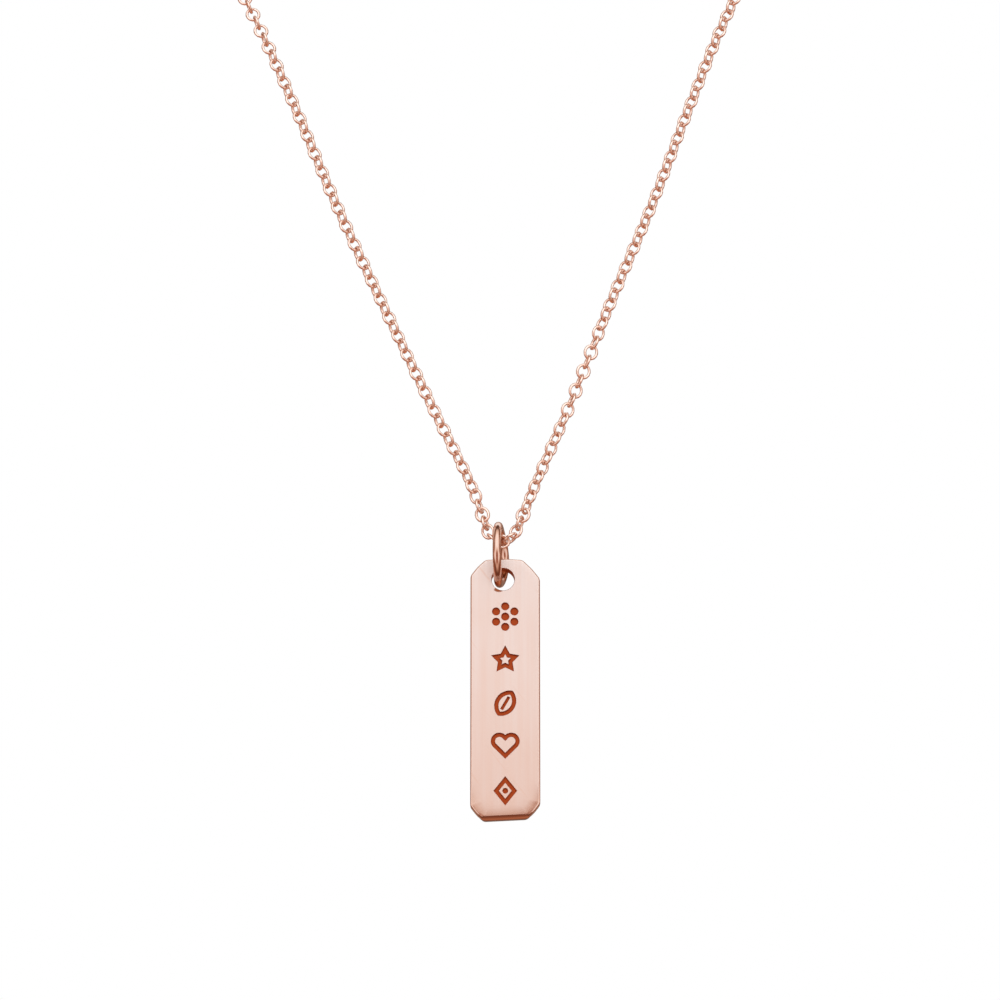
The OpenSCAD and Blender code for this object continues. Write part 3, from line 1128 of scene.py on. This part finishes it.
# %% The front with its cuts, and the plain back
def add_front(bm, face_edge, hole_rim):
    """Adds the front and the cuts in it. Returns its rows at the outline and at the hole."""
    rims = [offset(loop, RIM if cut_inside(loop) else -RIM) for loop in mark_loops]
    lines = [face_edge, hole_rim] + rims
    points, triangles, spans = triangulate(lines, grid_points(lines))
    front = new_row(bm, points, 0, 0.0)
    floor = {}
    for loop, span in zip(mark_loops, spans[2:]):
        bevel = new_row(bm, loop, RIM, 1.0)
        deep = new_row(bm, loop, ENGRAVED, 0.0)
        bridge(bm, [[front[k] for k in span], bevel])
        bridge(bm, [bevel, deep], CUT_SLOT)
        floor.update(zip(span, deep))
    for triangle in triangles:
        centre = centre_of(points, triangle)
        if not inside(centre, face_edge) or inside(centre, hole_rim):
            continue
        if sum(inside(centre, rim) for rim in rims) % 2:
            bm.faces.new([floor[k] for k in triangle]).material_index = CUT_SLOT
        else:
            bm.faces.new([front[k] for k in triangle])
    return [[front[k] for k in span] for span in spans[:2]]


def add_back(bm, face_edge, hole_rim):
    """Adds the plain back. Returns its rows at the outline and at the hole."""
    points, triangles, spans = triangulate([face_edge, hole_rim], [])
    back = new_row(bm, points, 2 * half_t, 0.0)
    for triangle in triangles:
        centre = centre_of(points, triangle)
        if inside(centre, face_edge) and not inside(centre, hole_rim):
            bm.faces.new([back[k] for k in triangle]).material_index = BACK_SLOT
    return [[back[k] for k in span] for span in spans]


# %% Build the bar
def rolled_rows(bm):
    """Rows of vertices round the outline, over the front edge, along the side and over the back edge.
    They are polished bright from a third of the way over the edge."""
    angles = [math.pi / 2 * k / EDGE_STEPS for k in range(1, EDGE_STEPS + 1)]
    places = [(a, BAR_EDGE * (1 - math.cos(a))) for a in angles]
    places += [(a, 2 * half_t - BAR_EDGE * (1 - math.cos(a))) for a in angles[::-1]]
    rows = []
    for a, depth in places:
        line = offset(outline, -BAR_EDGE * (1 - math.sin(a)))
        rows.append(new_row(bm, line, depth, min(1.0, 2 * math.sin(a))))
    return rows


def build_bar(name):
    """The plate as one closed mesh. The attribute polish is 1 where it is polished bright."""
    bm = bmesh.new()
    bm.verts.layers.float.new("polish")
    face_edge = offset(outline, -BAR_EDGE)
    hole_rim = offset(hole, RIM)
    front_edge, front_hole = add_front(bm, face_edge, hole_rim)
    back_edge, back_hole = add_back(bm, face_edge, hole_rim)
    bridge(bm, [front_edge] + rolled_rows(bm) + [back_edge])
    wall = [new_row(bm, hole, RIM, 1.0), new_row(bm, hole, 2 * half_t - RIM, 1.0)]
    bridge(bm, [front_hole] + wall + [back_hole], HOLE_SLOT)

    # A triangle with no width, which lies along a straight stretch of an outline, has an open side.
    slivers = {e.link_faces[0] for e in bm.edges if len(e.link_faces) == 1}
    bmesh.ops.delete(bm, geom=list(slivers), context="FACES")
    bmesh.ops.recalc_face_normals(bm, faces=bm.faces)
    loose = [e for e in bm.edges if not e.is_manifold]
    print("bar mesh:", len(bm.faces), "faces,", len(loose), "open edges")
    return mesh_of(bm, name)


BAR_SHARP = math.radians(30)

bar = new_object("bar_plate", build_bar("bar_plate"))
for finish in (bar_satin, engraved_dark, drilled_and_shaded, matt_back):
    bar.data.materials.append(finish)
bar.data.shade_smooth()
bar.data.set_sharp_from_angle(angle=BAR_SHARP)
flat_faces = bar.modifiers.new("flat faces stay flat", "WEIGHTED_NORMAL")
flat_faces.keep_sharp = True
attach(bar, "bar")
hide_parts("bar")

# %% [markdown]
# ## The clasp
# The clasp sits at the nape, where the photograph doesn't show it. It is a plain spring ring: a round
# tube with a thinner stretch on one side, an eye for the chain and a small lever with a round end. Its
# three forms grow into each other on the real thing. They could be left overlapping, but then faces
# would lie hidden inside the metal, so a Boolean fuses them into one skin.

# %% Clasp
CLASP_WIRE = 1.0 * MM
CLASP_D = 5.6 * MM
BOLT_WIRE = 0.74 * MM
BOLT_FROM = 18
BOLT_TO = 78
EYE_D = 2.0 * MM
EYE_WIRE = 0.45 * MM
LEVER_R = 0.4 * MM
LEVER_H = 1.1 * MM
SUNK = 0.2 * MM
SHOULDER = 0.9
SHOULDER_REACH = 40
LEVER_SIDES = 24
LEVER_RINGS = 16
FOOT_SHARE = 0.9
NECK_SHARE = 0.6
CLASP_SHARP = math.radians(40)


def clasp_wire(angle):
    """The clasp's wire radius: the tube, and the thinner bolt with soft shoulders at its ends."""
    edge = min(abs(angle - BOLT_FROM), abs(angle - BOLT_TO))
    if BOLT_FROM < angle < BOLT_TO:
        return BOLT_WIRE / 2
    return CLASP_WIRE / 2 * min(1.0, SHOULDER + edge / SHOULDER_REACH)


def lever(name):
    """A short round post with a ball on its end."""
    bm = bmesh.new()
    foot = CLASP_D / 2 - SUNK
    bmesh.ops.create_uvsphere(
        bm, u_segments=LEVER_SIDES, v_segments=LEVER_RINGS, radius=LEVER_R,
        matrix=Matrix.Translation((0, 0, foot + LEVER_H)),
    )
    bmesh.ops.create_cone(
        bm, cap_ends=True, segments=LEVER_SIDES, depth=LEVER_H,
        radius1=LEVER_R * FOOT_SHARE, radius2=LEVER_R * NECK_SHARE,
        matrix=Matrix.Translation((0, 0, foot + LEVER_H / 2)),
    )
    mesh = mesh_of(bm, name)
    mesh.shade_smooth()
    return new_object(name, mesh)


def fuse(body, others):
    """The union of a body and others as one mesh. The others are used up."""
    for other in others:
        union = body.modifiers.new("fuse", "BOOLEAN")
        union.operation = "UNION"
        union.solver = "EXACT"
        union.use_self = True
        union.object = other
        name = body.name
        fused = bake_nodes(body, name + "_fused")
        bpy.data.objects.remove(other)
        fused.name = name
        body = fused
    return body


nape = Vector((0, 0, 0))
clasp = swept_ring("clasp_body", clasp_gold, nape, (0, -1, 0), (CLASP_D - CLASP_WIRE) / 2, clasp_wire)
eye_at = Vector((-(CLASP_D + EYE_D) / 2 + SUNK, 0, 0))
eye = swept_ring("clasp_eye", clasp_gold, eye_at, (0, -1, 0), (EYE_D - EYE_WIRE) / 2, even(EYE_WIRE))
clasp = fuse(clasp, [eye, lever("clasp_lever")])
clasp.data.set_sharp_from_angle(angle=CLASP_SHARP)
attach(clasp, "neck_chain")
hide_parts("clasp")
print("clasp:", len(clasp.data.polygons), "faces")

# %% [markdown]
# ## The studio
# A mirror-like thing looks like the room around it, so the room is designed as carefully as the metal.
# The plain pale floor lies well below, out of the camera's view, and the camera sees a white
# background. What the metal sees is a soft tent. Its colour goes by the angle round from the front:
# bright ahead and above, a dark gap overhead, dark and warm low in front, below and behind. It also
# changes towards the two sides, so there are three rings of colour, blended into each other. The bright
# front gives the pale pink cores, and the dark parts draw the fine brown lines along every edge.

# %% Floor
FLOOR_Z = -0.5
FLOOR_SIZE = 4
FLOOR_COLOR = (0.86, 0.86, 0.87, 1)
FLOOR_ROUGHNESS = 0.6

plane = bmesh.new()
at = Matrix.Translation((0, 0, FLOOR_Z))
bmesh.ops.create_grid(plane, x_segments=1, y_segments=1, size=FLOOR_SIZE, matrix=at)
floor = new_object("floor", mesh_of(plane, "floor"))
floor_paint = bpy.data.materials.new("floor_paint")
floor_paint.use_nodes = True
floor_shader = floor_paint.node_tree.nodes["Principled BSDF"]
floor_shader.inputs["Base Color"].default_value = FLOOR_COLOR
floor_shader.inputs["Roughness"].default_value = FLOOR_ROUGHNESS
floor.data.materials.append(floor_paint)
floor.visible_glossy = False
print("floor at", FLOOR_Z, "m")

# %% The tent that the metal reflects
# Angles in the plane through the middle: 0 is straight in front, 90 overhead, 180 behind, -90 below.
TENT_MIDDLE = [
    (-180, (0.34, 0.2, 0.14)), (-172, (0.15, 0.095, 0.07)), (-164, (0.14, 0.09, 0.068)),
    (-154, (0.24, 0.09, 0.05)), (-138, (0.64, 0.24, 0.12)), (-116, (0.62, 0.22, 0.11)),
    (-106, (0.31, 0.11, 0.055)), (-97, (0.16, 0.045, 0.024)), (-82, (0.13, 0.045, 0.025)),
    (-70, (0.34, 0.17, 0.11)), (-58, (0.62, 0.38, 0.29)), (-48, (0.6, 0.37, 0.28)),
    (-40, (0.37, 0.15, 0.1)), (-8, (0.35, 0.14, 0.09)), (0, (0.6, 0.4, 0.32)),
    (6, (0.8, 0.65, 0.57)), (12, (0.94, 0.88, 0.86)), (20, (1.0, 1.0, 1.0)),
    (60, (1.0, 0.97, 0.95)), (72, (0.85, 0.66, 0.56)), (84, (0.62, 0.44, 0.36)),
    (92, (0.12, 0.06, 0.04)), (112, (0.12, 0.06, 0.04)), (118, (0.9, 0.86, 0.84)),
    (134, (0.86, 0.79, 0.75)), (147, (0.36, 0.2, 0.14)), (172, (0.17, 0.1, 0.075)),
    (180, (0.34, 0.2, 0.14)),
]
TENT_UNDER = [
    (-150, (0.24, 0.09, 0.05)), (-128, (0.42, 0.14, 0.065)), (-112, (0.38, 0.12, 0.055)),
    (-100, (0.16, 0.05, 0.028)), (-66, (0.17, 0.065, 0.04)),
]
TENT_WIDE = [(-180, (0.45, 0.25, 0.18)), (-170, (0.26, 0.12, 0.08))] + TENT_UNDER + [
    (-54, (0.4, 0.21, 0.14)), (-40, (0.78, 0.56, 0.48)), (-26, (0.95, 0.84, 0.79)),
    (2, (0.95, 0.82, 0.76)), (22, (0.88, 0.73, 0.67)), (58, (0.82, 0.64, 0.57)),
    (74, (0.4, 0.2, 0.13)), (84, (0.2, 0.09, 0.055)), (112, (0.2, 0.09, 0.055)),
    (120, (0.75, 0.62, 0.55)), (134, (0.7, 0.55, 0.48)), (148, (0.34, 0.17, 0.11)),
    (170, (0.28, 0.13, 0.085)), (180, (0.45, 0.25, 0.18)),
]
TENT_SIDE = [(-180, (0.28, 0.13, 0.085))] + TENT_UNDER + [
    (-52, (0.42, 0.21, 0.14)), (-40, (0.66, 0.42, 0.34)), (-26, (0.8, 0.58, 0.5)),
    (0, (0.8, 0.57, 0.48)), (8, (0.62, 0.38, 0.3)), (20, (0.38, 0.17, 0.11)),
    (38, (0.24, 0.1, 0.065)), (112, (0.2, 0.085, 0.05)), (122, (0.5, 0.35, 0.28)),
    (136, (0.48, 0.32, 0.25)), (150, (0.3, 0.14, 0.09)), (180, (0.28, 0.13, 0.085)),
]
TENT_LEAN = 0.03
TENT_STRENGTH = 1.32
MIDDLE_TO_WIDE = (0.35, 0.6)
WIDE_TO_SIDE = (0.76, 0.9)

# %% The world as that tent
world = bpy.data.worlds.new("studio")
scene.world = world
world.use_nodes = True
tent = world.node_tree
tent.nodes.clear()
outwards = tent.nodes.new("ShaderNodeTexCoord").outputs["Generated"]
direction = add(tent, "ShaderNodeSeparateXYZ", Vector=outwards)
ahead = maths(tent, "MULTIPLY", direction.outputs["Y"], -1.0)
turn = maths(tent, "ARCTAN2", direction.outputs["Z"], ahead)
height = maths(tent, "ADD", maths(tent, "DIVIDE", turn, 2 * math.pi), 0.5)
aside = maths(tent, "ABSOLUTE", maths(tent, "SUBTRACT", direction.outputs["X"], TENT_LEAN))


def tent_ramp(stops):
    """The tent's colour by the angle round from the front."""
    node = tent.nodes.new("ShaderNodeValToRGB")
    tent.links.new(height, node.inputs[0])
    ramp = node.color_ramp
    for k, (angle, color) in enumerate(stops):
        at = (angle + 180) / 360
        stop = ramp.elements[k] if k < 2 else ramp.elements.new(at)
        stop.position = at
        stop.color = (*color, 1)
    return node.outputs[0]


def fade(low, high):
    """0 up to low and 1 from high on, by how far a direction points to either side."""
    node = add(tent, "ShaderNodeMapRange", Value=aside, From_Min=low, From_Max=high)
    node.interpolation_type = "SMOOTHSTEP"
    return node.outputs[0]


round_front = blend_color(tent, fade(*MIDDLE_TO_WIDE), tent_ramp(TENT_MIDDLE), tent_ramp(TENT_WIDE))
seen_by_metal = blend_color(tent, fade(*WIDE_TO_SIDE), round_front, tent_ramp(TENT_SIDE))
glow = flow(tent, "ShaderNodeBackground", Color=seen_by_metal, Strength=TENT_STRENGTH)
white = flow(tent, "ShaderNodeBackground", Color=(1, 1, 1, 1))
to_camera = tent.nodes.new("ShaderNodeLightPath").outputs["Is Camera Ray"]
pick = tent.nodes.new("ShaderNodeMixShader")
for socket, value in zip(pick.inputs, (to_camera, glow, white)):
    feed(tent, socket, value)
feed(tent, tent.nodes.new("ShaderNodeOutputWorld").inputs[0], pick.outputs[0])
scene.view_settings.view_transform = "Standard"
print("tent:", len(tent.nodes), "nodes")

# %% Lights
DAYLIGHT = 2.2
DAYLIGHT_ANGLE = math.radians(60)
SOFTBOX_SIZE = 0.4
SOFTBOX_WATTS = 0.015
SOFTBOX_AT = (-0.16, -0.5, 0.02)


def aim_light(light, at, towards):
    """A light as an object, turned towards a place."""
    obj = new_object(light.name, light)
    obj.location = at
    obj.rotation_euler = (Vector(towards) - Vector(at)).to_track_quat("-Z", "Y").to_euler()
    return obj


daylight = bpy.data.lights.new("floor_light", "SUN")
daylight.energy = DAYLIGHT
daylight.angle = DAYLIGHT_ANGLE
aim_light(daylight, (0, 0, 1), (0, 0, 0)).visible_glossy = False

softbox = bpy.data.lights.new("softbox", "AREA")
softbox.shape = "RECTANGLE"
softbox.size = SOFTBOX_SIZE
softbox.size_y = SOFTBOX_SIZE
softbox.energy = SOFTBOX_WATTS
aim_light(softbox, SOFTBOX_AT, VERTEX)
print("lights:", daylight.name, softbox.name)
